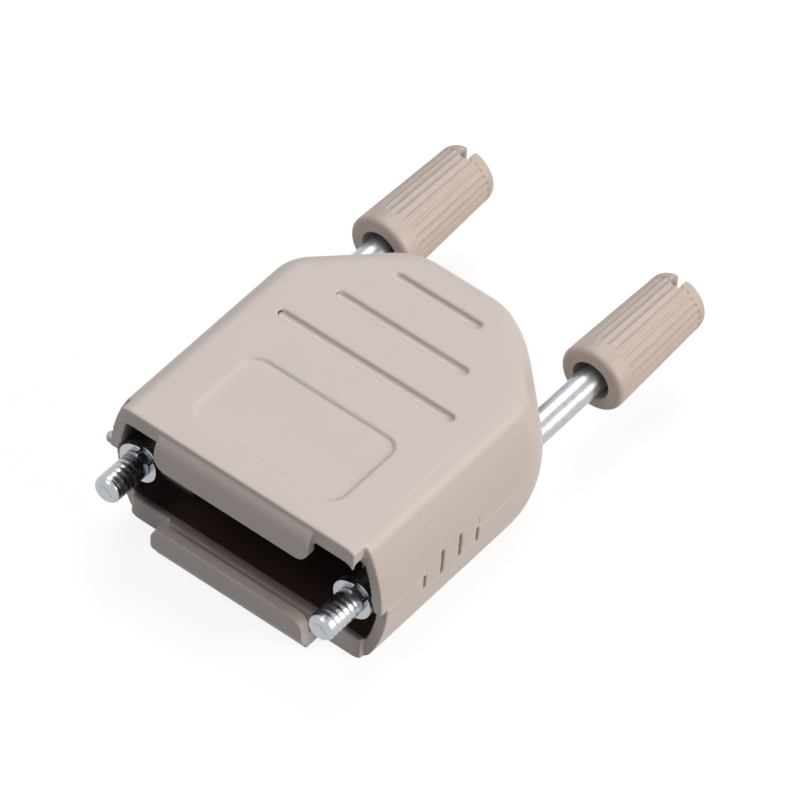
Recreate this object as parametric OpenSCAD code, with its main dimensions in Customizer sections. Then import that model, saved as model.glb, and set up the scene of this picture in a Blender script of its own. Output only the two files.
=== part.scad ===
// Hood for a nine-way D-subminiature connector: two snap-together half shells
// that differ only at the front rim, a cable clamp, and two captive thumbscrews.
//
// Frame: millimetres. The origin is the centre of the seat that takes the
// connector flange, on the flange's front face. +Y runs back to the cable exit,
// +X is to the right seen from the front, +Z is up, and the seam is at z = 0.

/* [Hood body] */
// Plastic left beside the flange's ends, at the seam
rim_side = 0.295; // [0.2:0.005:2]
// Thickness of the flat top and bottom walls
face_wall = 1.875; // [1.5:0.025:2.5]
// Distance from the flange seat to the back wall's outer face
hood_back = 34.8; // [34:0.1:38]
// Distance from the flange seat to the corner where the sloped shoulder starts
shoulder_y = 25.35; // [25:0.05:27]
// Radius of the bulged side wall, seen along the hood
side_r = 16.5; // [14:0.5:30]
// Radius of the edge between the side wall and the flat face
edge_r = 2.0; // [1:0.1:3]
// Corner radius between side and shoulder, in plan, at the seam
shoulder_r = 6; // [4.5:0.5:8]
// Corner radius between shoulder and back, in plan, at the seam
back_r = 7.5; // [5:0.5:9]
// Thickness of the side, shoulder and back walls
side_wall = 1.25; // [1:0.05:1.5]
// How far the upper shell's front rim stands ahead of the flange seat
rim_ahead = 0.3; // [0.1:0.1:0.8]
// Distance from the flange seat to the lower shell's rim beside the lip
lower_face_rim = 1.7; // [1.5:0.1:2.5]
// Distance from the flange seat to the lower shell's side walls
lower_side_rim = 2.2; // [1.8:0.1:2.8]
// Radius of the cavity's edge between side wall and roof
cavity_edge_r = 1.2; // [0.6:0.1:1.6]
// Distance from the hood's middle to the step between flat rim and side rim
rim_step_x = 13.5; // [12.5:0.1:14]
// Radius of the locating nub beside the rim
nub_r = 0.6; // [0.4:0.05:0.9]
// Height of the locating nub above the seam
nub_h = 0.7; // [0.4:0.1:1.2]
// How far the nub stands out from the side wall
nub_out = 0.8; // [0.4:0.05:0.9]

/* [Connector seat] */
// Spacing of the two jackscrews
screw_spacing = 24.99; // [24.5:0.01:25.5]
// Width of the connector's flange
flange_w = 30.81; // [30:0.01:31.5]
// Height of the connector's flange
flange_h = 12.55; // [12:0.01:12.8]
// Corner radius of the connector's flange
flange_r = 2.0; // [1.5:0.1:3]
// Thickness of the connector's flange
flange_t = 1.0; // [0.8:0.1:1.2]
// Gap all round the flange in its seat
flange_gap = 0.15; // [0.05:0.05:0.3]
// Width of the lip that covers the flange's middle
lip_w = 17.8; // [16.5:0.1:19]
// Thickness of the lip
lip_t = 1.2; // [0.8:0.1:1.6]
// Height of the opening between the two lips
lip_opening = 8.2; // [7.8:0.1:9]
// Radius of the lip's rolled front edge
lip_roll_r = 2.2; // [1:0.1:2.6]
// Corner radius of the lip
lip_corner_r = 1.4; // [0.6:0.1:2]
// Height of the rib that backs the flange
rest_rib_h = 0.9; // [0.5:0.1:1.2]
// Thickness of the rib that backs the flange
rest_rib_t = 1.1; // [0.8:0.1:1.5]

/* [Face details] */
// Length of the label recess across the hood
label_w = 17.1; // [14:0.1:20]
// Width of the label recess along the hood
label_len = 9.6; // [6:0.1:11]
// Distance from the flange seat to the label recess
label_y = 3.15; // [2.5:0.1:5]
// Corner radius of the label recess
label_r = 1.6; // [0.5:0.1:3]
// Depth of the label recess
label_depth = 0.25; // [0.1:0.05:0.5]
// Length of the grip groove next to the label
groove_long = 20.3; // [16:0.1:21]
// Length that each next groove is shorter by
groove_step_len = 5.1; // [3:0.1:6]
// Distance from the flange seat to the first groove
groove_y = 18.2; // [17:0.1:20]
// Pitch of the grooves along the hood
groove_pitch = 5.3; // [3:0.1:5.6]
// Width of a groove
groove_w = 0.9; // [0.5:0.1:1.4]
// Depth of a groove
groove_depth = 0.45; // [0.2:0.05:0.8]

/* [Snap latches] */
// Width of a latch tongue
tongue_w = 2.25; // [1.5:0.05:3]
// How far a tongue reaches past the seam
tongue_reach = 1.8; // [1.4:0.1:2.2]
// Slit on each side of a tongue
tongue_slit = 0.3; // [0.2:0.05:0.5]
// Length of a slit above the seam
slit_rise = 1.4; // [0.8:0.1:2]
// Distance from the flange seat to the first tongue's middle
tongue_y = 9.0; // [8.5:0.1:11]
// Distance between the two tongues
tongue_pitch = 5.15; // [4.5:0.05:6]
// How far a tongue's barb stands in from the wall
barb_depth = 0.5; // [0.3:0.05:0.7]
// Height of a tongue's barb
barb_h = 0.7; // [0.5:0.05:0.9]
// Thickness of the bar that a barb catches on
catch_t = 0.5; // [0.4:0.05:1]
// Gap between a tongue and what it passes
latch_gap = 0.08; // [0.04:0.01:0.15]

/* [Thumbscrews] */
// Diameter of the thread and the rod
rod_d = 2.84; // [2.6:0.01:3]
// Radial gap between the rod and its guides
rod_gap = 0.18; // [0.1:0.01:0.3]
// How far the thread's tip stands ahead of the flange seat at rest
tip_ahead = 3.6; // [2.5:0.1:5]
// Outer diameter of the retaining ring
ring_d = 4.3; // [3.8:0.1:4.8]
// Thickness of the retaining ring
ring_t = 0.8; // [0.6:0.1:1]
// Diameter of the ring groove in the shank
neck_d = 2.1; // [1.8:0.1:2.3]
// Turn of the retaining ring's mouth from straight up towards +X
ring_turn = 30; // [0:5:60]
// Gap between the retaining ring and the wall beside it
ring_room = 0.25; // [0.1:0.05:0.4]
// Running gap between the ring and its groove
ring_gap = 0.05; // [0.02:0.01:0.1]
// Distance from the flange seat to the guide behind the ring
guide_y = 6.0; // [5:0.1:7]
// Gap between the rear guide and the clamp saddle
rear_guide_gap = 2.8; // [1:0.1:4]
// Thickness of a screw guide
guide_t = 1.2; // [0.8:0.1:1.6]
// Plastic left between a screw guide's notch and its free edge
guide_land = 1.1; // [0.8:0.1:1.6]
// Chamfer at the thread's tip
tip_chamfer = 0.5; // [0.2:0.1:0.8]
// How far the retaining ring's jaws close round its neck on each side
ring_grip = 0.2; // [0.1:0.05:0.4]
// Plastic left between the shank's end and the screwdriver slot
knob_floor = 1.4; // [0.8:0.1:2.5]
// Gap between the knob's front face and the shoulder at rest
knob_rest_gap = 4.2; // [4.1:0.1:10]
// Length of the knob
knob_len = 14; // [11:0.5:18]
// Diameter of the knob at its front
knob_d = 7.1; // [6.4:0.1:8]
// Diameter of the knob at its back
knob_back_d = 6.3; // [5.6:0.1:7]
// Diameter of the recess in the knob's front face
recess_d = 4.1; // [3.6:0.1:4.8]
// Depth of the recess in the knob's front face
recess_depth = 2.5; // [1:0.1:4]
// Number of flutes round the knob
flute_count = 26; // [18:1:30]
// Depth of a flute
flute_depth = 0.2; // [0.1:0.02:0.35]
// Radius of a flute's round bottom
flute_r = 0.36; // [0.3:0.02:0.5]
// Plain collar ahead of the flutes
collar_len = 2.3; // [1:0.1:4]
// Plain length behind the flutes
plain_back = 1.3; // [1:0.1:3]
// Rounding of the knob's front edge
knob_front_round = 0.6; // [0.3:0.05:0.9]
// Rounding of the knob's rear edge
knob_back_round = 0.9; // [0.4:0.05:1.2]
// Width of the screwdriver slot
slot_w = 1.15; // [0.8:0.05:1.5]
// Depth of the screwdriver slot
slot_depth = 1.6; // [1:0.1:2.5]

/* [Cable clamp] */
// Diameter of the cable exit
exit_d = 8.8; // [7:0.1:9.4]
// Distance from the clamp's middle to the back wall's outer face
clamp_setback = 9.5; // [9.2:0.1:10]
// Width of a clamp saddle along the cable
saddle_w = 5.6; // [4:0.1:5.8]
// Thickness of a clamp saddle
saddle_t = 1.0; // [0.8:0.1:1.2]
// Length of a clamp saddle across the cable
saddle_len = 20.6; // [20.2:0.1:21]
// Inner radius of a saddle's arch
arch_r = 4.2; // [3.5:0.1:4.3]
// Gap between the two saddles' lugs
lug_gap = 2.0; // [1.5:0.1:3]
// Spacing of the clamp screws
clamp_spacing = 14.6; // [14.4:0.1:14.8]
// Diameter of a clamp screw
clamp_screw_d = 2.5; // [2:0.1:2.6]
// Length of a clamp screw under its head
clamp_screw_len = 6.6; // [6.2:0.1:8]
// Diameter of a clamp screw's head
clamp_head_d = 4.5; // [4:0.1:4.6]
// Height of a clamp screw's head
clamp_head_h = 1.7; // [1.2:0.1:2]
// Width of a clamp nut across its flats
nut_flats = 5.0; // [4.5:0.1:5]
// Thickness of a clamp nut
nut_t = 2.0; // [1.6:0.1:2.2]
// Thickness of the ribs beside a saddle
clamp_rib_t = 1.0; // [0.6:0.1:1.4]
// Gap between a saddle and the plastic round it
clamp_gap = 0.1; // [0.05:0.05:0.2]
// Width of a clamp screw's slot
clamp_slot_w = 0.6; // [0.4:0.1:0.8]
// Depth of a clamp screw's slot
clamp_slot_depth = 0.8; // [0.5:0.1:1.2]

/* [Hidden] */

plastic = "#CFC1B6";
steel = "#B9BEC2";
eps = 0.01;
over = 1;                                   // how far a cutter runs past a face
$fn = 48;

half_w = flange_w / 2 + flange_gap + rim_side;
seat_top = flange_h / 2 + flange_gap;       // roof of the seat and of the cavity
half_t = seat_top + face_wall;
screw_x = screw_spacing / 2;
rod_r = rod_d / 2;
channel_r = rod_r + rod_gap;
seat_depth = flange_t + 2 * flange_gap;
shoulder_sum = half_w + shoulder_y;         // x + y along the shoulder at the seam
corner_cut = tan(22.5);                     // from a 45 degree corner to its arc's end, per radius
least_r = 0.6;                              // smallest corner radius of the cavity in plan
reach = 2 * half_w;                         // a length past anything in the hood

ring_y = seat_depth - flange_gap;           // front face of the retaining ring
neck_y = ring_y - ring_gap;
knob_y = shoulder_sum - (screw_x - knob_d / 2) + knob_rest_gap;
shank_back = knob_y + knob_len - slot_depth - knob_floor;
clamp_y = hood_back - clamp_setback;
lug_low = lug_gap / 2;
lug_high = lug_low + saddle_t;
rear_guide_y = clamp_y - saddle_w / 2 - rear_guide_gap - guide_t;
notch_half = tongue_w / 2 + tongue_slit;    // half the width of a tongue's notch

// ---- lofted hood form ----------------------------------------------------

// Section of the wall from the seam up: [inset from the seam outline, height].
// A large arc bulges the side, and a small one turns it into the flat face.
function wall_section(big_r, small_r, top) =
    let (turn = asin((top - small_r) / (big_r - small_r)),
         inset = big_r - (big_r - small_r) * cos(turn))
    concat([for (k = [0:5]) let (a = turn * k / 5)
                [big_r * (1 - cos(a)), big_r * sin(a)]],
           [for (k = [1:6]) let (a = turn + (90 - turn) * k / 6)
                [inset - small_r * cos(a), top - small_r + small_r * sin(a)]]);

// Plan of the hood, moved in by inset, from the front right corner round to the left.
function half_plan(inset, front) =
    let (x = half_w - inset,
         line = shoulder_sum - inset * sqrt(2),
         back = hood_back - inset,
         r1 = max(shoulder_r - inset, least_r),
         r2 = max(back_r - inset, least_r),
         c1 = [x - r1, line - x - r1 * corner_cut],
         c2 = [line - back - r2 * corner_cut, back - r2])
    concat([[x, front]],
           [for (k = [0:7]) c1 + r1 * [cos(k * 45 / 7), sin(k * 45 / 7)]],
           [for (k = [0:7]) c2 + r2 * [cos(45 + k * 45 / 7), sin(45 + k * 45 / 7)]]);

function plan(inset, front) =
    let (right = half_plan(inset, front), n = len(right))
    concat(right, [for (k = [n - 1:-1:0]) [-right[k][0], right[k][1]]]);

// Solid between level plans: rings is a list of closed outlines of equal length,
// each with its height.
module loft(rings) {
    n = len(rings[0][1]);
    m = len(rings);
    points = [for (ring = rings) for (p = ring[1]) [p[0], p[1], ring[0]]];
    walls = [for (j = [0:m - 2]) for (i = [0:n - 1])
                let (a = j * n + i, b = j * n + (i + 1) % n, c = b + n, d = a + n)
                each [[a, c, b], [a, d, c]]];
    polyhedron(points, concat(walls,
        [[for (i = [0:n - 1]) i]],
        [[for (i = [n - 1:-1:0]) (m - 1) * n + i]]), convexity = 6);
}

// The hood's form above the seam, with its lowest and highest plans carried on
// straight so that flat cuts can face them.
module form_above(section, offset_in, front, below, above) {
    last = section[len(section) - 1];
    rings = concat([[-below, plan(offset_in, front)]],
                   [for (s = section) [s[1], plan(offset_in + s[0], front)]],
                   [[last[1] + above, plan(offset_in + last[0], front)]]);
    loft(rings);
}

outer_section = wall_section(side_r, edge_r, half_t);
inner_section = wall_section(side_r - side_wall, cavity_edge_r, seat_top);

module slab(low, high) {
    translate([low[0], low[1], low[2]])
        cube([high[0] - low[0], high[1] - low[1], high[2] - low[2]]);
}

module outer_form() {
    difference() {
        form_above(outer_section, 0, -rim_ahead, over, over);
        slab([-reach, -reach, -2 * over], [reach, hood_back + over, 0]);
        slab([-reach, -reach, half_t], [reach, hood_back + over, half_t + 2 * over]);
    }
}

module inner_form() {
    form_above(inner_section, side_wall, -rim_ahead - over, over, 0);
}

module along_y() {
    rotate([-90, 0, 0]) children();
}

// Rounded rectangle, centred, with true arcs at its corners.
module rounded_rect(w, h, r) {
    square([w - 2 * r, h], center = true);
    square([w, h - 2 * r], center = true);
    for (sx = [-1, 1], sy = [-1, 1])
        translate([sx * (w / 2 - r), sy * (h / 2 - r)]) circle(r);
}

// Bar with round ends, centred, along X.
module round_bar(len, w) {
    square([len - w, w], center = true);
    for (s = [-1, 1]) translate([s * (len - w) / 2, 0]) circle(w / 2);
}

// ---- half shell ----------------------------------------------------------

// Room for the connector's flange.
module flange_seat() {
    rotate([90, 0, 0]) translate([0, 0, -seat_depth])
        linear_extrude(seat_depth)
            rounded_rect(flange_w + 2 * flange_gap, flange_h + 2 * flange_gap, flange_r);
}

// Lip over the middle of the flange: a plate with round lower corners, whose
// front edge rolls up into the hood's flat face.
module lip() {
    low = lip_opening / 2;
    intersection() {
        rotate([90, 0, 0]) translate([0, 0, -over]) linear_extrude(lip_t + 2 * over)
            union() {
                translate([-lip_w / 2, low + lip_corner_r])
                    square([lip_w, half_t - low]);
                translate([-lip_w / 2 + lip_corner_r, low])
                    square([lip_w - 2 * lip_corner_r, half_t - low]);
                for (s = [-1, 1])
                    translate([s * (lip_w / 2 - lip_corner_r), low + lip_corner_r])
                        circle(lip_corner_r);
            }
        rotate([90, 0, 90]) translate([0, 0, -half_w]) linear_extrude(2 * half_w) {
            translate([-lip_t, 0]) square([lip_t, half_t - lip_roll_r]);
            translate([lip_roll_r - lip_t, half_t - lip_roll_r])
                intersection() {
                    circle(lip_roll_r);
                    translate([-lip_roll_r, 0]) square([lip_roll_r, lip_roll_r]);
                }
        }
    }
}

// Rib across the roof that backs the flange.
module rest_rib() {
    slab([-half_w, seat_depth, seat_top - rest_rib_h],
         [half_w, seat_depth + rest_rib_t, half_t]);
}

// Wall with a half-round notch that guides one screw.
module screw_guide(side, y, thick) {
    inner = screw_x - channel_r - guide_land;
    slab([min(side * inner, side * half_w), y, 0],
         [max(side * inner, side * half_w), y + thick, half_t]);
}

// Ribs that a saddle drops between, and posts that back its lugs.
module clamp_seat() {
    rib_in = arch_r + saddle_t + 3 * clamp_gap;
    edge = saddle_w / 2 + clamp_gap;
    post_in = clamp_spacing / 2 + nut_flats / 2 + clamp_gap;
    post_out = saddle_len / 2 + 3 * clamp_gap;
    for (s = [0, 1]) mirror([s, 0, 0]) {
        for (y = [clamp_y - edge - clamp_rib_t, clamp_y + edge])
            slab([rib_in, y, lug_low + 2 * clamp_gap], [post_out, y + clamp_rib_t, half_t]);
        slab([post_in, clamp_y - edge, lug_high + clamp_gap / 2],
             [post_out, clamp_y + edge, half_t]);
    }
}

// Where the two tongues stand along the hood.
function tongue_places() = [tongue_y, tongue_y + tongue_pitch];

// Tongues on the right wall, each with a barb inside its end.
module tongues() {
    for (y = tongue_places()) {
        intersection() {
            rotate([0, 180, 0]) mirror([1, 0, 0])
                difference() {
                    form_above(outer_section, 0, -rim_ahead, over, 0);
                    form_above(inner_section, side_wall, -rim_ahead - over, 2 * over, 0);
                }
            slab([screw_x, y - tongue_w / 2, -tongue_reach],
                 [reach, y + tongue_w / 2, side_wall / 2]);
        }
        translate([half_w - side_wall, y + tongue_w / 2, -tongue_reach]) rotate([90, 0, 0])
            linear_extrude(tongue_w)
                polygon([[side_wall / 3, 0], [-latch_gap, 0], [-barb_depth, barb_h],
                         [side_wall / 3, barb_h]]);
    }
}

// Slits beside the tongues' roots.
module tongue_slits() {
    for (y = tongue_places(), side_y = [y - tongue_w / 2 - tongue_slit, y + tongue_w / 2])
        slab([half_w - 2 * side_wall, side_y, -over],
             [half_w + side_wall, side_y + tongue_slit, slit_rise]);
}

// Notches in the left wall that take the other half's tongues.
module tongue_notches() {
    for (y = tongue_places())
        slab([-half_w - side_wall, y - notch_half, -over],
             [-half_w + 2 * side_wall, y + notch_half, tongue_reach + 2 * latch_gap]);
}

// Bars inside the left wall that the other half's barbs catch on, with a foot at each end.
module catch_bars() {
    bar_x = -half_w + side_wall + latch_gap;
    bar_top = tongue_reach - barb_h - latch_gap;
    for (y = tongue_places()) {
        slab([bar_x, y - notch_half - catch_t, latch_gap],
             [bar_x + catch_t, y + notch_half + catch_t, bar_top]);
        for (foot_y = [y - notch_half - catch_t, y + notch_half])
            slab([bar_x - side_wall / 3, foot_y, latch_gap], [bar_x + latch_gap, foot_y + catch_t, bar_top]);
    }
}

// Steps that set the front rim back on both sides of the lip: face_rim is where
// the flat wall starts, and side_rim where the side walls start.
module rim_steps(face_rim, side_rim) {
    front = -rim_ahead - over;
    for (s = [0, 1]) mirror([s, 0, 0]) {
        slab([lip_w / 2, front, -over], [rim_step_x + eps, face_rim, half_t + over]);
        slab([rim_step_x, front, -over], [reach, side_rim, half_t + over]);
    }
}

// Wall with its ribs, guides and posts, before the lip and the latches.
module shell_body() {
    difference() {
        outer_form();
        inner_form();
    }
    intersection() {
        outer_form();
        union() {
            rest_rib();
            for (s = [-1, 1]) {
                screw_guide(s, guide_y, guide_t);
                screw_guide(s, rear_guide_y, guide_t);
            }
            clamp_seat();
        }
    }
}

// One half of the hood, above the seam, with its rim where the two sizes say.
module half_shell(face_rim, side_rim) {
    difference() {
        union() {
            difference() {
                shell_body();
                rim_steps(face_rim, side_rim);
            }
            lip();
            tongues();
            catch_bars();
        }
        flange_seat();
        for (s = [-1, 1]) translate([s * screw_x, 0, 0]) along_y() {
            cylinder(r = channel_r, h = hood_back);
            cylinder(r = ring_d / 2 + ring_room, h = guide_y);
        }
        translate([0, hood_back - side_wall - over, 0]) along_y()
            cylinder(r = exit_d / 2, h = side_wall + 2 * over);
        tongue_slits();
        tongue_notches();
        translate([0, label_y + label_len / 2, half_t - label_depth])
            linear_extrude(over) rounded_rect(label_w, label_len, label_r);
        for (k = [0:2])
            translate([0, groove_y + k * groove_pitch, half_t - groove_depth])
                linear_extrude(over) round_bar(groove_long - k * groove_step_len, groove_w);
    }
}

// Nub that stands out at the seam, level with the upper shell's side rim.
module nub() {
    translate([-half_w - nub_out + nub_r, seat_depth + nub_r, 0]) cylinder(r = nub_r, h = nub_h);
}

module upper_shell() {
    color(plastic) {
        half_shell(-rim_ahead, seat_depth);
        nub();
    }
}

module lower_shell() {
    color(plastic) rotate([0, 180, 0]) half_shell(lower_face_rim, lower_side_rim);
}

// ---- thumbscrews ---------------------------------------------------------

module screw_shank(side) {
    color(steel) translate([side * screw_x, 0, 0]) along_y() {
        rotate_extrude()
            polygon([[0, -tip_ahead], [rod_r - tip_chamfer, -tip_ahead], [rod_r, -tip_ahead + tip_chamfer],
                     [rod_r, neck_y], [neck_d / 2, neck_y],
                     [neck_d / 2, neck_y + ring_t + 2 * ring_gap],
                     [rod_r, neck_y + ring_t + 2 * ring_gap],
                     [rod_r, shank_back], [0, shank_back]]);
    }
}

// Open ring that snaps into the shank's groove, its mouth turned from straight up.
module retaining_ring(side) {
    color(steel) translate([side * screw_x, ring_y, 0]) along_y() rotate([0, 0, ring_turn])
        linear_extrude(ring_t) difference() {
            circle(ring_d / 2);
            circle(neck_d / 2 + ring_gap);
            translate([ring_grip - neck_d / 2, -ring_d]) square([neck_d - 2 * ring_grip, ring_d]);
        }
}

// Slightly tapered handle with a rounded edge at each end.
module knob_body() {
    front_in = knob_d / 2 - knob_front_round;
    back_in = knob_back_d / 2 - knob_back_round;
    rotate_extrude()
        polygon(concat(
            [[0, 0]],
            [for (a = [0:15:90]) [front_in, knob_front_round] + knob_front_round * [sin(a), -cos(a)]],
            [for (a = [0:15:90]) [back_in, knob_len - knob_back_round] + knob_back_round * [cos(a), sin(a)]],
            [[0, knob_len]]));
}

// Round-bottomed flutes that run along the tapered side between two plain ends.
module knob_flutes() {
    slope = (knob_d - knob_back_d) / 2 / knob_len;
    start_x = knob_d / 2 - slope * collar_len + flute_r - flute_depth;
    for (k = [0:flute_count - 1]) rotate([0, 0, 360 / flute_count * (k + 0.5)])
        translate([start_x, 0, collar_len]) rotate([0, -atan(slope), 0]) {
            cylinder(r = flute_r, h = knob_len - plain_back - collar_len, $fn = 16);
            sphere(flute_r, $fn = 16);
        }
}

module screw_knob(side) {
    color(plastic) translate([side * screw_x, knob_y, 0]) along_y()
        difference() {
            knob_body();
            knob_flutes();
            translate([0, 0, -over]) cylinder(r = recess_d / 2, h = over + recess_depth);
            cylinder(r = rod_r, h = shank_back - knob_y);
            translate([-slot_w / 2, -knob_d, knob_len - slot_depth])
                cube([slot_w, 2 * knob_d, slot_depth + over]);
        }
}

// ---- cable clamp ---------------------------------------------------------

// Strip bent into an arch over the cable, with a flat lug on each side.
module clamp_saddle() {
    color(steel) difference() {
        translate([0, clamp_y + saddle_w / 2, 0]) rotate([90, 0, 0]) linear_extrude(saddle_w)
            difference() {
                union() {
                    translate([-saddle_len / 2, lug_low]) square([saddle_len, saddle_t]);
                    intersection() {
                        circle(arch_r + saddle_t);
                        translate([-half_w, lug_low]) square([2 * half_w, half_t]);
                    }
                }
                circle(arch_r);
            }
        for (s = [-1, 1])
            translate([s * clamp_spacing / 2, clamp_y, 0])
                cylinder(r = clamp_screw_d / 2 + clamp_gap, h = half_t);
    }
}

module clamp_screw(side) {
    color(steel) translate([side * clamp_spacing / 2, clamp_y, 0])
        difference() {
            union() {
                translate([0, 0, lug_high - clamp_screw_len])
                    cylinder(r = clamp_screw_d / 2, h = clamp_screw_len + eps);
                translate([0, 0, lug_high]) cylinder(r = clamp_head_d / 2, h = clamp_head_h);
            }
            slab([-clamp_head_d, -clamp_slot_w / 2, lug_high + clamp_head_h - clamp_slot_depth],
                 [clamp_head_d, clamp_slot_w / 2, lug_high + clamp_head_h + over]);
        }
}

module clamp_nut(side) {
    color(steel) translate([side * clamp_spacing / 2, clamp_y, -lug_high - nut_t])
        difference() {
            rotate([0, 0, 30]) cylinder(r = nut_flats / sqrt(3), h = nut_t, $fn = 6);
            translate([0, 0, -over]) cylinder(r = clamp_screw_d / 2, h = nut_t + 2 * over);
        }
}

upper_shell();
lower_shell();
screw_shank(-1);  // left_screw_shank
screw_shank(1);  // right_screw_shank
screw_knob(-1);  // left_screw_knob
screw_knob(1);  // right_screw_knob
retaining_ring(-1);  // left_retaining_ring
retaining_ring(1);  // right_retaining_ring
clamp_saddle();  // upper_clamp_saddle
rotate([0, 180, 0]) clamp_saddle();  // lower_clamp_saddle
clamp_screw(-1);  // left_clamp_screw
clamp_screw(1);  // right_clamp_screw
clamp_nut(-1);  // left_clamp_nut
clamp_nut(1);  // right_clamp_nut
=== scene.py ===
"""Dresses the D-sub connector hood: moulded half shells, captive thumbscrews and cable clamp.

Every length is in metres unless its name ends in _mm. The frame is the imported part's own: the
origin is the centre of the connector's seat, +Y runs back along the screws, +X is to the right
seen from the front, and +Z is up.
"""
from __future__ import annotations

import logging
import math
from dataclasses import dataclass
from enum import Enum

import bpy
from mathutils import Matrix, Vector


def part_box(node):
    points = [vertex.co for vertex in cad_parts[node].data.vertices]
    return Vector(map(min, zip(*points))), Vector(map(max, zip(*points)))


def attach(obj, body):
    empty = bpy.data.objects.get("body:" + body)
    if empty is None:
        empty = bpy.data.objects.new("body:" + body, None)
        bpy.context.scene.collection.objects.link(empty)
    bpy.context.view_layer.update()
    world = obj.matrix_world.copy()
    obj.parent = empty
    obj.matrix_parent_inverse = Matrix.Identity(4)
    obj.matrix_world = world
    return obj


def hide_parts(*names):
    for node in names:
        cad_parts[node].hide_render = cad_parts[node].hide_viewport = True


log = logging.getLogger("hood")
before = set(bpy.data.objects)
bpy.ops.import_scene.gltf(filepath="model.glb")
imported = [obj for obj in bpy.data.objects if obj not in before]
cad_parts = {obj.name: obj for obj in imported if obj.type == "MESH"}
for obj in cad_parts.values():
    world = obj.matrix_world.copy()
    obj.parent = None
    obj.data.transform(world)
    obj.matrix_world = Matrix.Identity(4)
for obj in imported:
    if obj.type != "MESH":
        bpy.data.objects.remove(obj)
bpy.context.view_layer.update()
MM = 0.001


class Side(Enum):
    """The two sides of the hood, seen from the front."""

    LEFT = -1
    RIGHT = 1

    @property
    def word(self) -> str:
        """The side's name, as the CAD nodes and bodies use it."""
        return self.name.lower()


# ---- shared helpers ------------------------------------------------------


def linear(hex_colour: str) -> tuple[float, float, float, float]:
    """Turns an sRGB hex colour into Blender's linear colour.

    Args:
        hex_colour: six hex digits after a #.

    Returns:
        Red, green, blue and an alpha of 1.
    """
    channels = [int(hex_colour[i:i + 2], 16) / 255 for i in (1, 3, 5)]
    straight = [c / 12.92 if c <= 0.04045 else ((c + 0.055) / 1.055) ** 2.4 for c in channels]
    return (*straight, 1.0)


def add_node(tree: bpy.types.NodeTree, kind: str, settings: dict | None = None,
             inputs: dict | None = None) -> bpy.types.Node:
    """Adds one shader node with its settings, values and links.

    Args:
        tree: the node tree that takes it.
        kind: the node's type name.
        settings: attributes of the node itself.
        inputs: socket name or number to a value, or to an output socket to link from.

    Returns:
        The new node.
    """
    node = tree.nodes.new(kind)
    for name, value in (settings or {}).items():
        setattr(node, name, value)
    for name, value in (inputs or {}).items():
        if isinstance(value, bpy.types.NodeSocket):
            tree.links.new(value, node.inputs[name])
        else:
            node.inputs[name].default_value = value
    return node


def new_material(name: str) -> tuple[bpy.types.Material, bpy.types.NodeTree]:
    """Makes an empty node material.

    Args:
        name: the material's name.

    Returns:
        The material and its cleared node tree.
    """
    material = bpy.data.materials.new(name)
    material.use_nodes = True
    material.node_tree.nodes.clear()
    return material, material.node_tree


def dress(piece: bpy.types.Object, material: bpy.types.Material) -> None:
    """Gives a piece one material all over."""
    piece.data.materials.clear()
    piece.data.materials.append(material)


def select_only(piece: bpy.types.Object) -> None:
    """Makes one object the active one and the only one selected."""
    bpy.ops.object.select_all(action="DESELECT")
    piece.select_set(True)
    bpy.context.view_layer.objects.active = piece


def copy_of_node(node: str, name: str) -> bpy.types.Object:
    """Copies a CAD node's mesh into a new piece and merges its loose triangles.

    Args:
        node: the CAD node's name.
        name: the new piece's name.

    Returns:
        The new piece, at the origin, with its doubles merged.
    """
    piece = bpy.data.objects.new(name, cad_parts[node].data.copy())
    bpy.context.scene.collection.objects.link(piece)
    select_only(piece)
    bpy.ops.object.mode_set(mode="EDIT")
    bpy.ops.mesh.select_all(action="SELECT")
    bpy.ops.mesh.remove_doubles(threshold=0.002 * MM)
    bpy.ops.object.mode_set(mode="OBJECT")
    return piece


def apply_modifier(piece: bpy.types.Object, kind: str, settings: dict) -> None:
    """Adds a modifier with its settings and applies it.

    Args:
        piece: the object to change.
        kind: the modifier's type.
        settings: attributes of the modifier.
    """
    select_only(piece)
    modifier = piece.modifiers.new(kind.lower(), kind)
    for name, value in settings.items():
        setattr(modifier, name, value)
    bpy.ops.object.modifier_apply(modifier=modifier.name)


@dataclass(frozen=True)
class Easing:
    """How far a solid's edges are eased: the grid, the passes and the share of faces kept."""

    voxel_mm: float
    passes: int
    keep_share: float


def soften(piece: bpy.types.Object, easing: Easing) -> None:
    """Remeshes a closed piece evenly, eases its edges and thins the mesh again."""
    apply_modifier(piece, "REMESH", {"mode": "VOXEL", "voxel_size": easing.voxel_mm * MM})
    apply_modifier(piece, "SMOOTH", {"factor": 0.5, "iterations": easing.passes})
    apply_modifier(piece, "DECIMATE", {"ratio": easing.keep_share})
    select_only(piece)
    bpy.ops.object.shade_smooth()


def finish_piece(piece: bpy.types.Object, node: str, body: str,
                 material: bpy.types.Material) -> bpy.types.Object:
    """Dresses a piece and lets it stand for its CAD node.

    Args:
        piece: the finished mesh.
        node: the CAD node that it replaces.
        body: the body that it rides on.
        material: its finish.

    Returns:
        The same piece.
    """
    dress(piece, material)
    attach(piece, body)
    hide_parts(node)
    return piece


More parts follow.
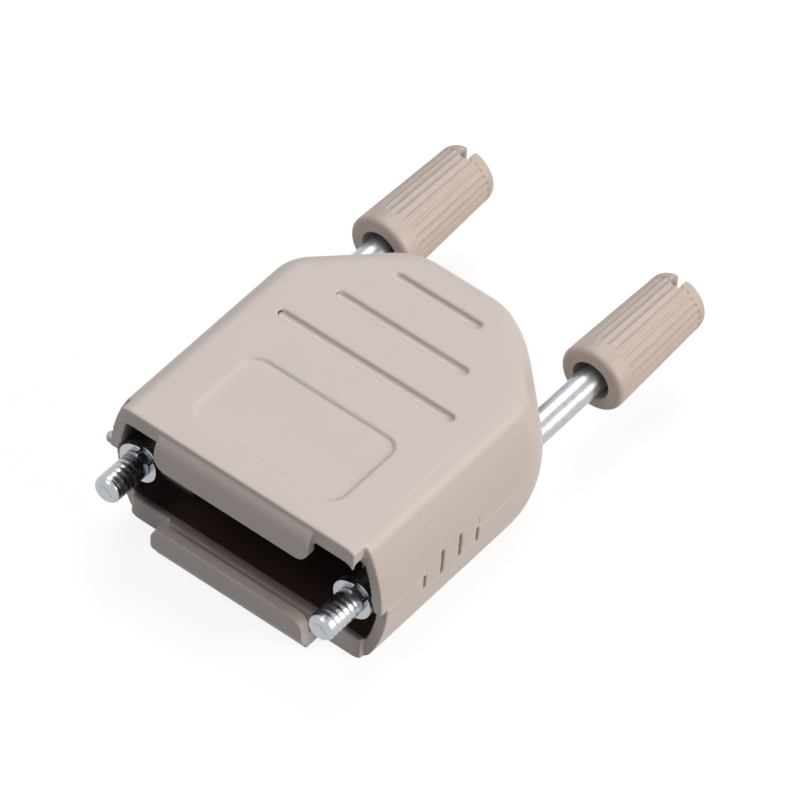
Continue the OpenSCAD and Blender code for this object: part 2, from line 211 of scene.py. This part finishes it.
def ring_at(piece_name: str, centre: tuple[float, float, float], radius: float,
            sides: int) -> bpy.types.Object:
    """Adds a filled disc that faces along Y, ready to be drawn out.

    Args:
        piece_name: the new piece's name.
        centre: the disc's centre.
        radius: its radius.
        sides: its number of corners.

    Returns:
        The new piece, in edit mode with the disc selected.
    """
    bpy.ops.object.select_all(action="DESELECT")
    bpy.ops.mesh.primitive_circle_add(vertices=sides, radius=radius, fill_type="NGON",
                                      location=centre, rotation=(math.pi / 2, 0, 0))
    piece = bpy.context.active_object
    piece.name = piece_name
    bpy.ops.object.transform_apply(location=True, rotation=True, scale=True)
    bpy.ops.object.mode_set(mode="EDIT")
    bpy.ops.mesh.select_all(action="SELECT")
    return piece


def turn_on_lathe(name: str, axis_x: float, stations: list[tuple[float, float]],
                  sides: int) -> bpy.types.Object:
    """Draws a turned solid along Y by extruding and scaling one disc.

    Args:
        name: the new piece's name.
        axis_x: where its axis crosses X.
        stations: radius and y of each step, in millimetres, from the front to the back.
        sides: number of faces round it.

    Returns:
        The new piece, closed at both ends.
    """
    radius, y = stations[0]
    piece = ring_at(name, (axis_x, y * MM, 0), radius * MM, sides)
    for next_radius, next_y in stations[1:]:
        bpy.ops.mesh.extrude_region_move(
            TRANSFORM_OT_translate={"value": (0, (next_y - y) * MM, 0)})
        grow = next_radius / radius
        bpy.ops.transform.resize(value=(grow, 1, grow), center_override=(axis_x, next_y * MM, 0))
        radius, y = next_radius, next_y
    bpy.ops.mesh.select_all(action="SELECT")
    bpy.ops.mesh.normals_make_consistent(inside=False)
    bpy.ops.object.mode_set(mode="OBJECT")
    return piece


# ---- finishes ------------------------------------------------------------


@dataclass(frozen=True)
class MouldedAbs:
    """ABS, injection moulded in a spark-eroded tool: satin, with a fine even grain. Where a cavity
    colour is given, painted shade darkens the inside walls behind the mouth.
    """

    name: str
    colour: str
    shade: str
    roughness: float = 0.46
    grain_mm: float = 0.32
    mottle_mm: float = 7.0
    # Colour of the painted shade on the hood's inside walls; empty for none.
    cavity_painted_shade: str = ""

    def material(self) -> bpy.types.Material:
        """Builds the plastic's material."""
        made, tree = new_material(self.name)
        coords = add_node(tree, "ShaderNodeTexCoord").outputs
        place = coords["Object"]
        mottle = add_node(tree, "ShaderNodeTexNoise", {}, {
            "Vector": place, "Scale": 1 / (self.mottle_mm * MM), "Detail": 2.0}).outputs["Fac"]
        tint = add_node(tree, "ShaderNodeMix", {"data_type": "RGBA"}, {
            0: mottle, 6: linear(self.colour), 7: linear(self.shade)}).outputs[2]
        # Painted shade: the inside walls behind the mouth are darkened towards a deep brown.
        if self.cavity_painted_shade:
            tint = self.paint_cavity_shade(tree, coords, tint)
        # The tool's grain is finer than this. It is drawn coarse enough to show.
        grain = add_node(tree, "ShaderNodeTexNoise", {}, {
            "Vector": place, "Scale": 1 / (self.grain_mm * MM), "Detail": 3.0}).outputs["Fac"]
        bump = add_node(tree, "ShaderNodeBump", {}, {
            "Strength": 0.12, "Distance": 0.02 * MM, "Height": grain}).outputs["Normal"]
        rough = add_node(tree, "ShaderNodeMapRange", {}, {
            "Value": grain, "To Min": self.roughness - 0.05, "To Max": self.roughness + 0.06}
        ).outputs["Result"]
        shader = add_node(tree, "ShaderNodeBsdfPrincipled", {}, {
            "Base Color": tint, "Roughness": rough, "Normal": bump, "IOR": 1.52,
            "Subsurface Weight": 0.06, "Subsurface Radius": (1.0, 0.55, 0.35),
            "Subsurface Scale": 1.2 * MM})
        add_node(tree, "ShaderNodeOutputMaterial", {}, {"Surface": shader.outputs["BSDF"]})
        return made

    def paint_cavity_shade(self, tree: bpy.types.NodeTree, coords: bpy.types.NodeOutputs,
                      tint: bpy.types.NodeSocket) -> bpy.types.NodeSocket:
        """Paints shade onto the walls that face the hood's own axis: they fall off to a deep brown
        behind the mouth, a painted shade in place of the dark inside.

        Args:
            tree: the material's tree.
            coords: the Texture Coordinate node's outputs.
            tint: the colour outside.

        Returns:
            The colour for all of the moulding.
        """
        across = add_node(tree, "ShaderNodeVectorMath", {"operation": "MULTIPLY"}, {
            0: coords["Object"], 1: (1.0, 0.0, 1.0)}).outputs["Vector"]
        facing = add_node(tree, "ShaderNodeVectorMath", {"operation": "DOT_PRODUCT"}, {
            0: across, 1: coords["Normal"]}).outputs["Value"]
        inward = add_node(tree, "ShaderNodeMapRange", {}, {
            "Value": facing, "From Min": -1.0 * MM, "From Max": -4.0 * MM}).outputs["Result"]
        along = add_node(tree, "ShaderNodeSeparateXYZ", {}, {0: coords["Object"]}).outputs["Y"]
        depth = add_node(tree, "ShaderNodeMapRange", {}, {
            "Value": along, "From Min": 0.2 * MM, "From Max": 3.0 * MM}).outputs["Result"]
        shade = add_node(tree, "ShaderNodeMath", {"operation": "MULTIPLY"}, {
            0: inward, 1: depth}).outputs[0]
        return add_node(tree, "ShaderNodeMix", {"data_type": "RGBA"}, {
            0: shade, 6: tint, 7: linear(self.cavity_painted_shade)}).outputs[2]


@dataclass(frozen=True)
class ZincPlate:
    """Bright zinc over turned or pressed steel: a cold grey metal with faint rings along Y."""

    name: str
    colour: str
    roughness: float = 0.27

    def material(self) -> bpy.types.Material:
        """Builds the metal's material."""
        made, tree = new_material(self.name)
        place = add_node(tree, "ShaderNodeTexCoord").outputs["Object"]
        # Turning marks: fine rings round the screw, stretched across its axis.
        lathe = add_node(tree, "ShaderNodeMapping", {}, {
            "Vector": place, "Scale": (150.0, 6000.0, 150.0)}).outputs["Vector"]
        marks = add_node(tree, "ShaderNodeTexNoise", {}, {
            "Vector": lathe, "Scale": 1.0, "Detail": 2.0}).outputs["Fac"]
        spots = add_node(tree, "ShaderNodeTexNoise", {}, {
            "Vector": place, "Scale": 1 / (0.9 * MM), "Detail": 3.0}).outputs["Fac"]
        rough = add_node(tree, "ShaderNodeMapRange", {}, {
            "Value": spots, "From Min": 0.3, "From Max": 0.7,
            "To Min": self.roughness - 0.07, "To Max": self.roughness + 0.1}).outputs["Result"]
        bump = add_node(tree, "ShaderNodeBump", {}, {
            "Strength": 0.15, "Distance": 0.01 * MM, "Height": marks}).outputs["Normal"]
        shader = add_node(tree, "ShaderNodeBsdfPrincipled", {}, {
            "Base Color": linear(self.colour), "Metallic": 1.0, "Roughness": rough,
            "Normal": bump})
        add_node(tree, "ShaderNodeOutputMaterial", {}, {"Surface": shader.outputs["BSDF"]})
        return made


# ---- the object's pieces -------------------------------------------------


@dataclass
class HalfShells:
    """The two moulded halves of the hood."""

    plastic: bpy.types.Material
    body: str = "hood"
    easing: Easing = Easing(0.13, 4, 0.36)

    def build(self) -> list[bpy.types.Object]:
        """Makes a smooth piece for each half shell.

        Returns:
            The two new pieces.
        """
        pieces = []
        for node in ("upper_shell", "lower_shell"):
            piece = copy_of_node(node, node + "_moulding")
            soften(piece, self.easing)
            pieces.append(finish_piece(piece, node, self.body, self.plastic))
        return pieces


@dataclass
class Thumbscrew:
    """One captive screw: a threaded shank, its retaining ring and a fluted handle."""

    side: Side
    plastic: bpy.types.Material
    zinc: bpy.types.Material
    pitch_mm: float = 0.635
    thread_depth_mm: float = 0.025
    steps_per_pitch: int = 8
    sides: int = 64
    dish_mm: float = 0.25
    nose_mm: float = 0.55
    run_out_mm: float = 0.45
    groove_depth_mm: float = 0.37
    edge_mm: float = 0.06
    ring_play_mm: float = 0.05
    ring_easing: Easing = Easing(0.05, 4, 0.5)
    handle_easing: Easing = Easing(0.08, 5, 0.5)

    @property
    def body(self) -> str:
        """The body that the screw and its handle ride on."""
        return self.side.word + "_thumbscrew"

    def build(self) -> list[bpy.types.Object]:
        """Makes the shank, the ring and the handle.

        Returns:
            The three new pieces.
        """
        return [self.shank(), self.ring(), self.handle()]

    def shank(self) -> bpy.types.Object:
        """Turns the shank, with a cupped nose, a cut thread and the ring's groove."""
        node = self.side.word + "_screw_shank"
        low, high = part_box(node)
        axis_x = (low.x + high.x) / 2
        radius = (high.z - low.z) / 2 / MM
        tip, back = low.y / MM, high.y / MM
        ring_low, ring_high = (corner.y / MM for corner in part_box(self.side.word + "_retaining_ring"))
        groove_low, groove_high = ring_low - self.ring_play_mm, ring_high + self.ring_play_mm
        groove_radius = radius - self.groove_depth_mm
        thread_start = tip + self.nose_mm
        thread_end = ring_low - self.run_out_mm
        turns = (thread_end - thread_start) / self.pitch_mm
        steps = round(turns * self.steps_per_pitch)
        # A cup in the nose, its rim, and the round that leads the screw into its hole.
        nose = [(radius * 0.3, tip + self.dish_mm), (radius * 0.5, tip + 0.08), (radius * 0.58, tip),
                (radius * 0.7, tip + 0.03), (radius * 0.82, tip + 0.12), (radius * 0.93, tip + 0.3)]
        thread = [(radius, thread_start + (thread_end - thread_start) * k / steps)
                  for k in range(steps + 1)]
        groove = [(radius, groove_low - self.edge_mm), (radius - self.edge_mm, groove_low),
                  (groove_radius, groove_low), (groove_radius, groove_high),
                  (radius - self.edge_mm, groove_high), (radius, groove_high + self.edge_mm)]
        piece = turn_on_lathe(node + "_turned", axis_x, [*nose, *thread, *groove, (radius, back)],
                              self.sides)
        self.cut_thread(piece, axis_x, thread_start, thread_end)
        select_only(piece)
        bpy.ops.object.shade_smooth_by_angle(angle=math.radians(35))
        return finish_piece(piece, node, self.body, self.zinc)

    def cut_thread(self, piece: bpy.types.Object, axis_x: float, start: float, end: float) -> None:
        """Sinks a right-handed helix into the rings between two places.

        Args:
            piece: the turned shank.
            axis_x: where its axis crosses X.
            start: y where the thread starts, in millimetres.
            end: y where it has run out.
        """
        for vertex in piece.data.vertices:
            y = vertex.co.y / MM
            if not start - 0.01 < y < end + 0.01:
                continue
            angle = math.atan2(vertex.co.z, vertex.co.x - axis_x)
            phase = y / self.pitch_mm + angle / (2 * math.pi)
            # The thread comes in over its first half millimetre and runs out over its last.
            fade = min(1.0, (y - start + 0.3) / 0.5, (end - y) / 0.6)
            cut = self.thread_depth_mm * fade * (0.5 - 0.5 * math.cos(2 * math.pi * phase))
            radius = math.hypot(vertex.co.x - axis_x, vertex.co.z)
            keep = 1 - max(cut, 0.0) * MM / radius
            vertex.co.x = axis_x + (vertex.co.x - axis_x) * keep
            vertex.co.z *= keep

    def ring(self) -> bpy.types.Object:
        """Presses the open ring that keeps the screw in the hood."""
        node = self.side.word + "_retaining_ring"
        piece = copy_of_node(node, node + "_pressed")
        soften(piece, self.ring_easing)
        return finish_piece(piece, node, self.side.word + "_retainer", self.zinc)

    def handle(self) -> bpy.types.Object:
        """Moulds the fluted handle."""
        node = self.side.word + "_screw_knob"
        piece = copy_of_node(node, node + "_moulding")
        soften(piece, self.handle_easing)
        return finish_piece(piece, node, self.body, self.plastic)


@dataclass
class CableClamp:
    """Two pressed saddles, drawn together by two screws and their nuts."""

    zinc: bpy.types.Material
    body: str = "hood"
    easing: Easing = Easing(0.08, 3, 0.35)

    def build(self) -> list[bpy.types.Object]:
        """Makes all six pieces of the clamp.

        Returns:
            The new pieces.
        """
        nodes = ["upper_clamp_saddle", "lower_clamp_saddle"]
        nodes += [side.word + "_clamp_" + kind for side in Side for kind in ("screw", "nut")]
        return [self.pressed(node) for node in nodes]

    def pressed(self, node: str) -> bpy.types.Object:
        """Makes one piece with its edges eased as tumbling and plating leave them.

        Args:
            node: the CAD node's name.

        Returns:
            The piece that stands for the node.
        """
        piece = copy_of_node(node, node + "_plated")
        soften(piece, self.easing)
        return finish_piece(piece, node, self.body, self.zinc)


# ---- studio --------------------------------------------------------------


@dataclass
class Camera:
    """A long-lens camera, placed by where it aims and how it is turned."""

    aim_mm: tuple[float, float, float] = (5.652, 16.032, 9.407)
    azimuth_deg: float = 35.294
    elevation_deg: float = 47.786
    roll_deg: float = 4.313
    distance_mm: float = 722.82
    lens: float = 360.0

    def build(self) -> bpy.types.Object:
        """Adds the camera and makes it the scene's own.

        Returns:
            The camera object.
        """
        turn = math.radians(self.azimuth_deg)
        lift = math.radians(self.elevation_deg)
        back = Vector((math.sin(turn) * math.cos(lift), -math.cos(turn) * math.cos(lift),
                       math.sin(lift)))
        data = bpy.data.cameras.new("camera")
        data.lens = self.lens
        data.clip_start = 0.05
        data.clip_end = 20.0
        camera = bpy.data.objects.new("camera", data)
        bpy.context.scene.collection.objects.link(camera)
        upright = (-back).to_track_quat("-Z", "Y").to_matrix().to_4x4()
        rolled = upright @ Matrix.Rotation(math.radians(self.roll_deg), 4, "Z")
        place = Vector(self.aim_mm) * MM + back * self.distance_mm * MM
        camera.matrix_world = Matrix.Translation(place) @ rolled
        bpy.context.scene.camera = camera
        return camera


@dataclass
class Studio:
    """A white floor under soft light."""

    floor_z: float
    floor_size: float = 3.0
    world_strength: float = 0.13
    floor_glow: float = 0.85

    def build(self) -> None:
        """Adds the floor, the world and the lamps."""
        self.floor()
        self.world()
        self.lamp("key", (-0.25, 0.45, 0.75), 0.5, 2.9, "#FFFFFF")
        self.lamp("side", (0.75, 0.25, 0.35), 0.45, 5.2, "#FFF3E8")
        self.lamp("front", (-0.2, -0.45, 0.9), 0.4, 2.2, "#FFF8F2")

    def floor(self) -> None:
        """Adds the floor that the hood lies on."""
        bpy.ops.mesh.primitive_plane_add(size=self.floor_size, location=(0, 0, self.floor_z))
        plane = bpy.context.active_object
        plane.name = "floor"
        made, tree = new_material("white_paper")
        path = add_node(tree, "ShaderNodeLightPath").outputs
        seen = add_node(tree, "ShaderNodeMath", {"operation": "MAXIMUM"}, {
            0: path["Is Camera Ray"], 1: path["Is Glossy Ray"]}).outputs[0]
        lift = add_node(tree, "ShaderNodeMath", {"operation": "MULTIPLY"}, {
            0: seen, 1: self.floor_glow}).outputs[0]
        paper = add_node(tree, "ShaderNodeBsdfDiffuse", {}, {"Color": linear("#8A8A8A")}).outputs[0]
        glow = add_node(tree, "ShaderNodeEmission", {}, {"Strength": lift}).outputs[0]
        both = add_node(tree, "ShaderNodeAddShader", {}, {0: paper, 1: glow}).outputs[0]
        add_node(tree, "ShaderNodeOutputMaterial", {}, {"Surface": both})
        dress(plane, made)

    def world(self) -> None:
        """Makes the world a soft white that cameras and reflections see at full strength."""
        world = bpy.data.worlds.new("studio")
        world.use_nodes = True
        bpy.context.scene.world = world
        tree = world.node_tree
        tree.nodes.clear()
        path = add_node(tree, "ShaderNodeLightPath").outputs
        seen = add_node(tree, "ShaderNodeMath", {"operation": "MAXIMUM"}, {
            0: path["Is Camera Ray"], 1: path["Is Glossy Ray"]}).outputs[0]
        seen = add_node(tree, "ShaderNodeMath", {"operation": "MAXIMUM"}, {
            0: seen, 1: path["Is Transmission Ray"]}).outputs[0]
        strength = add_node(tree, "ShaderNodeMapRange", {}, {
            "Value": seen, "To Min": self.world_strength, "To Max": 1.0}).outputs["Result"]
        sky = add_node(tree, "ShaderNodeBackground", {}, {
            "Color": (1, 1, 1, 1), "Strength": strength}).outputs[0]
        add_node(tree, "ShaderNodeOutputWorld", {}, {"Surface": sky})

    def lamp(self, name: str, place: tuple[float, float, float], size: float,
             watts: float, colour: str) -> None:
        """Adds a square lamp that faces the hood.

        Args:
            name: the lamp's name.
            place: where it hangs.
            size: its width.
            watts: its power.
            colour: its sRGB hex colour.
        """
        data = bpy.data.lights.new(name, "AREA")
        data.size = size
        data.energy = watts
        data.color = linear(colour)[:3]
        lamp = bpy.data.objects.new(name, data)
        bpy.context.scene.collection.objects.link(lamp)
        lamp.location = place
        lamp.rotation_euler = Vector(place).to_track_quat("Z", "Y").to_euler()


def main() -> None:
    """Builds the pieces in order and reports each."""
    logging.basicConfig(level=logging.INFO, format="%(name)s: %(message)s")
    bpy.context.scene.view_settings.view_transform = "Standard"
    # 3A2A24 is painted shade for the hood's inside walls, not a colour of the plastic.
    hood_plastic = MouldedAbs("moulded_abs_hood", "#D3CAC8", "#CEC5C2", cavity_painted_shade="#3A2A24").material()
    knob_plastic = MouldedAbs("moulded_abs_knob", "#CBBFB7", "#C5B8B0").material()
    zinc = ZincPlate("zinc_plated_steel", "#B4B9BE").material()
    clamp_zinc = ZincPlate("zinc_plated_clamp", "#BEC1C4", 0.34).material()
    makers = [HalfShells(hood_plastic), *(Thumbscrew(side, knob_plastic, zinc) for side in Side),
              CableClamp(clamp_zinc)]
    for maker in makers:
        for piece in maker.build():
            log.info("%s: %d faces", piece.name, len(piece.data.polygons))
    Studio(floor_z=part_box("lower_shell")[0].z).build()
    Camera().build()


if __name__ == "__main__":
    main()
